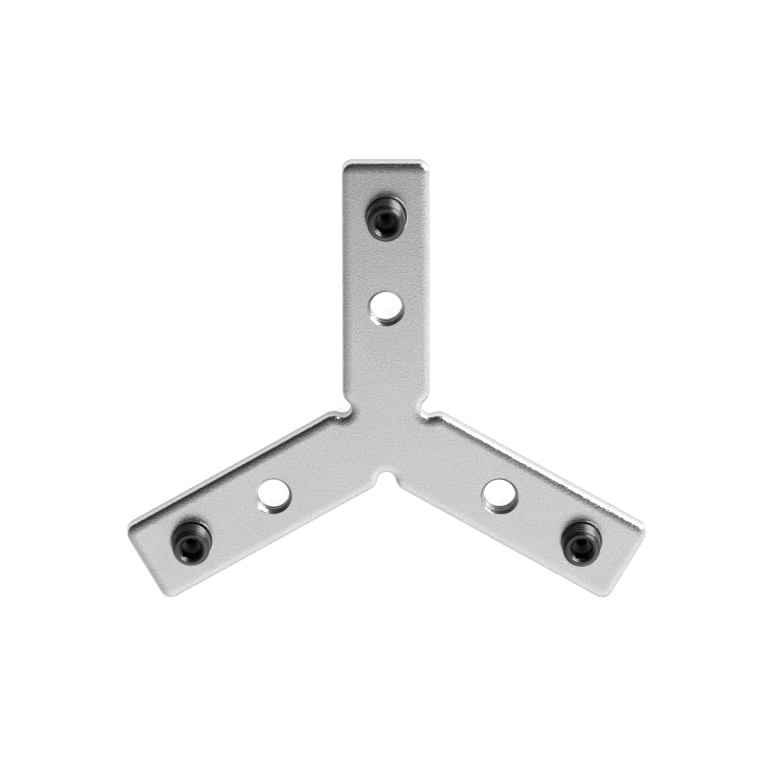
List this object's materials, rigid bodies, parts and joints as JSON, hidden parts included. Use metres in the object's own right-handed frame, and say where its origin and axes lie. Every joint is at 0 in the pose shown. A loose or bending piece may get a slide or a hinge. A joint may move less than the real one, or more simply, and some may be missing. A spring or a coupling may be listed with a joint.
{
  "type": "three-way profile joiner",
  "caption": "Flat Y-shaped steel joiner whose arms slide into profile slots, with tapped holes and a socket grub screw near each arm's tip.",
  "frame": {"origin": "on the plate's three-fold axis, in the plane of its back face", "axes": "+Z out of the front face, the side that the grub screws stand up from; +Y along arm A; arms B and C at 120 and 240 degrees anticlockwise from arm A"},
  "size_m": [0.0534, 0.0465, 0.005],
  "materials": {
    "plated_steel": "satin, tumbled and bright plated",
    "black_steel": "black oxide, lightly oiled"
  },
  "bodies": {
    "plate": {"joiner_plate": "plated_steel"},
    "screw_a": {"grub_screw_a": "black_steel"},
    "screw_b": {"grub_screw_b": "black_steel"},
    "screw_c": {"grub_screw_c": "black_steel"}
  },
  "joints": [
    {"name": "screw_a_travel", "type": "slide", "parent": "plate", "child": "screw_a", "axis": [0, 0, 1], "range_m": [-0.0028, 0.0007]},
    {"name": "screw_b_travel", "type": "slide", "parent": "plate", "child": "screw_b", "axis": [0, 0, 1], "range_m": [-0.0028, 0.0007]},
    {"name": "screw_c_travel", "type": "slide", "parent": "plate", "child": "screw_c", "axis": [0, 0, 1], "range_m": [-0.0028, 0.0007]}
  ]
}
